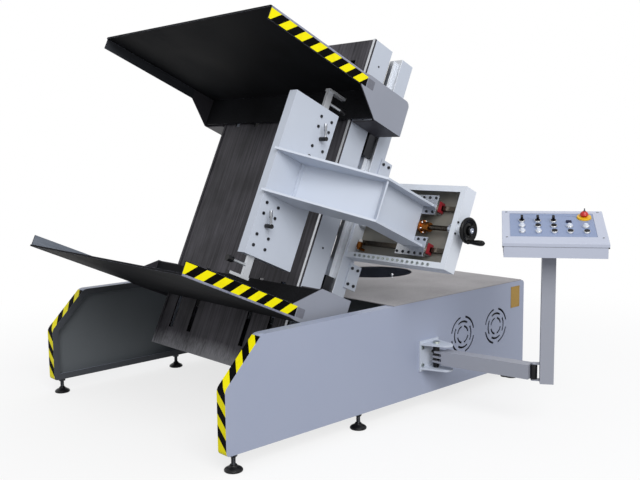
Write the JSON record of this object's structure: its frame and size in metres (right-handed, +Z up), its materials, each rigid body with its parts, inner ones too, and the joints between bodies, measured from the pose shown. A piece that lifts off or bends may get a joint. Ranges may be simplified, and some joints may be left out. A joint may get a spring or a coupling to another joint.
{
  "type": "pile turner",
  "caption": "Floor-standing pile turner: leaning mast on a trunnion base, two clamping platforms, a screw-driven jogging plate and a control console on a swing arm.",
  "frame": {"origin": "middle of the bounding box at floor level, under the levelling feet", "axes": "+Z up, +Y from the open front to the cabinet at the back, +X to the operator's side with the console"},
  "size_m": [2.2776, 2.0526, 1.7403],
  "materials": {
    "panel_paint": "satin powder coat",
    "cover_paint": "fine textured coat",
    "pale_paint": "satin powder coat",
    "dark_plate": "smooth dark coat",
    "drive_cast": "painted casting",
    "bright_steel": "ground and plated",
    "plain_steel": "machined",
    "bolt_black": "blackened",
    "nut_brass": "machined",
    "foot_rubber": "moulded",
    "fan_plastic": "moulded",
    "grip_plastic": "moulded",
    "stand_paint": "satin powder coat",
    "console_paint": "satin powder coat",
    "lamp_white": "clear lens",
    "control_black": "moulded",
    "stop_red": "moulded"
  },
  "bodies": {
    "base": {"side_panel_near": "panel_paint", "side_panel_far": "panel_paint", "top_cover": "cover_paint", "rear_wall": "panel_paint", "cabinet_bulkhead": "panel_paint", "cross_members": "panel_paint", "levelling_feet": "foot_rubber", "tilt_bearings": "drive_cast", "tilt_gearmotor": "drive_cast", "blower_ducts": "drive_cast", "cable_gland": "fan_plastic", "console_bracket": "pale_paint"},
    "front_fan": {"front_fan": "fan_plastic"},
    "rear_fan": {"rear_fan": "fan_plastic"},
    "tilt_frame": {"tilt_shaft": "plain_steel", "tilt_beam": "panel_paint", "slew_housing": "drive_cast", "slew_motor": "drive_cast"},
    "mast": {"slew_hub": "plain_steel", "mast_plate": "dark_plate", "mast_sides": "pale_paint", "bright_rails": "bright_steel", "rear_columns": "pale_paint", "mast_crossbeams": "pale_paint", "column_brackets": "pale_paint", "mast_bolts": "bolt_black", "rail_box": "pale_paint"},
    "clamp_screw": {"clamp_screw": "bright_steel"},
    "upper_platform": {"upper_tray": "dark_plate", "upper_cheeks": "panel_paint", "upper_carriage": "plain_steel"},
    "lower_platform": {"lower_tray": "dark_plate", "lower_cheeks": "panel_paint", "lower_carriage": "plain_steel"},
    "jogger": {"jog_arm": "pale_paint", "jog_plate": "pale_paint", "jog_blocks": "plain_steel", "lead_nut": "nut_brass"},
    "hand_screw": {"lead_screw": "bright_steel", "handwheel": "grip_plastic"},
    "crank_handle": {"crank_handle": "grip_plastic"},
    "lower_nozzle": {"lower_nozzle_bar": "bright_steel"},
    "upper_nozzle": {"upper_nozzle_bar": "bright_steel"},
    "lower_lever": {"lower_clamp_lever": "grip_plastic"},
    "upper_lever": {"upper_clamp_lever": "grip_plastic"},
    "console_arm": {"console_arm": "stand_paint"},
    "console": {"console_post": "stand_paint", "console_box": "console_paint", "console_lid": "console_paint", "control_bezels": "plain_steel", "pilot_lamps": "lamp_white"},
    "selector_left": {"selector_left": "control_black"},
    "selector_mid": {"selector_mid": "control_black"},
    "selector_right": {"selector_right": "control_black"},
    "button_a": {"button_a": "control_black"},
    "button_b": {"button_b": "control_black"},
    "button_c": {"button_c": "control_black"},
    "button_d": {"button_d": "control_black"},
    "button_e": {"button_e": "control_black"},
    "estop_button": {"estop_button": "stop_red"}
  },
  "joints": [
    {"name": "front_fan_spin", "type": "hinge", "parent": "base", "child": "front_fan", "pos_m": [0.24722, 0.48931, 0.3], "axis": [1, 0, 0], "continuous": true},
    {"name": "rear_fan_spin", "type": "hinge", "parent": "base", "child": "rear_fan", "pos_m": [0.24722, 0.75531, 0.3], "axis": [1, 0, 0], "continuous": true},
    {"name": "tilt", "type": "hinge", "parent": "base", "child": "tilt_frame", "pos_m": [-0.39878, 0.04631, 0.385], "axis": [1, 0, 0], "range_deg": [-10, 24.2]},
    {"name": "turn", "type": "hinge", "parent": "tilt_frame", "child": "mast", "pos_m": [-0.39878, 0.19808, 0.79589], "axis": [0, 0.9121, -0.4099], "range_deg": [-2.5, 2.5]},
    {"name": "upper_clamp", "type": "slide", "parent": "mast", "child": "upper_platform", "axis": [0, 0.4099, 0.9121], "range_m": [-0.05, 0.245]},
    {"name": "lower_clamp", "type": "slide", "parent": "mast", "child": "lower_platform", "axis": [0, -0.4099, -0.9121], "range_m": [-0.05, 0.245]},
    {"name": "clamp_screw_turn", "type": "hinge", "parent": "mast", "child": "clamp_screw", "pos_m": [-0.39878, -0.09927, 0.92953], "axis": [0, 0.4099, 0.9121], "range_deg": [-1800, 8820]},
    {"name": "jog_slide", "type": "slide", "parent": "mast", "child": "jogger", "axis": [1, 0, 0], "range_m": [-0.2, 0.06]},
    {"name": "hand_screw_turn", "type": "hinge", "parent": "mast", "child": "hand_screw", "pos_m": [0.70122, 0.06127, 0.85738], "axis": [1, 0, 0], "range_deg": [-7200, 2160]},
    {"name": "crank_spin", "type": "hinge", "parent": "hand_screw", "child": "crank_handle", "pos_m": [0.72922, 0.04159, 0.8136], "axis": [1, 0, 0], "continuous": true},
    {"name": "upper_nozzle_slide", "type": "slide", "parent": "jogger", "child": "upper_nozzle", "axis": [0, 0.4099, 0.9121], "range_m": [-0.025, 0.03]},
    {"name": "lower_nozzle_slide", "type": "slide", "parent": "jogger", "child": "lower_nozzle", "axis": [0, -0.4099, -0.9121], "range_m": [-0.025, 0.03]},
    {"name": "upper_lever_turn", "type": "hinge", "parent": "jogger", "child": "upper_lever", "pos_m": [0.12122, -0.23306, 1.23195], "axis": [1, 0, 0], "range_deg": [-30, 90]},
    {"name": "lower_lever_turn", "type": "hinge", "parent": "jogger", "child": "lower_lever", "pos_m": [0.12122, -0.53829, 0.88454], "axis": [1, 0, 0], "range_deg": [-30, 90]},
    {"name": "console_swing", "type": "hinge", "parent": "base", "child": "console_arm", "pos_m": [0.37922, 0.23131, 0.252], "axis": [0, 0, 1], "range_deg": [-8, 60]},
    {"name": "console_swivel", "type": "hinge", "parent": "console_arm", "child": "console", "pos_m": [0.83175, 0.31927, 0.252], "axis": [0, 0, 1], "range_deg": [-45, 40]},
    {"name": "selector_left_turn", "type": "hinge", "parent": "console", "child": "selector_left", "pos_m": [0.75908, 0.32127, 0.88109], "axis": [0.1986, -0.2784, 0.9397], "range_deg": [-45, 45]},
    {"name": "selector_mid_turn", "type": "hinge", "parent": "console", "child": "selector_mid", "pos_m": [0.81119, 0.35843, 0.88109], "axis": [0.1986, -0.2784, 0.9397], "range_deg": [-45, 45]},
    {"name": "selector_right_turn", "type": "hinge", "parent": "console", "child": "selector_right", "pos_m": [0.86248, 0.39502, 0.88109], "axis": [0.1986, -0.2784, 0.9397], "range_deg": [-45, 45]},
    {"name": "button_a_press", "type": "slide", "parent": "console", "child": "button_a", "axis": [-0.1986, 0.2784, -0.9397], "range_m": [0, 0.003], "stiffness_N_per_m": 900, "springref_m": -0.001},
    {"name": "button_b_press", "type": "slide", "parent": "console", "child": "button_b", "axis": [-0.1986, 0.2784, -0.9397], "range_m": [0, 0.003], "stiffness_N_per_m": 900, "springref_m": -0.001},
    {"name": "button_c_press", "type": "slide", "parent": "console", "child": "button_c", "axis": [-0.1986, 0.2784, -0.9397], "range_m": [0, 0.003], "stiffness_N_per_m": 900, "springref_m": -0.001},
    {"name": "button_d_press", "type": "slide", "parent": "console", "child": "button_d", "axis": [-0.1986, 0.2784, -0.9397], "range_m": [0, 0.003], "stiffness_N_per_m": 900, "springref_m": -0.001},
    {"name": "button_e_press", "type": "slide", "parent": "console", "child": "button_e", "axis": [-0.1986, 0.2784, -0.9397], "range_m": [0, 0.003], "stiffness_N_per_m": 900, "springref_m": -0.001},
    {"name": "estop_press", "type": "slide", "parent": "console", "child": "estop_button", "axis": [-0.1986, 0.2784, -0.9397], "range_m": [0, 0.004]}
  ],
  "couplings": [
    {"joint": "lower_clamp", "follows": "upper_clamp", "ratio": 1},
    {"joint": "clamp_screw_turn", "follows": "upper_clamp", "rad_per_m": 628.32},
    {"joint": "hand_screw_turn", "follows": "jog_slide", "rad_per_m": 628.32}
  ]
}
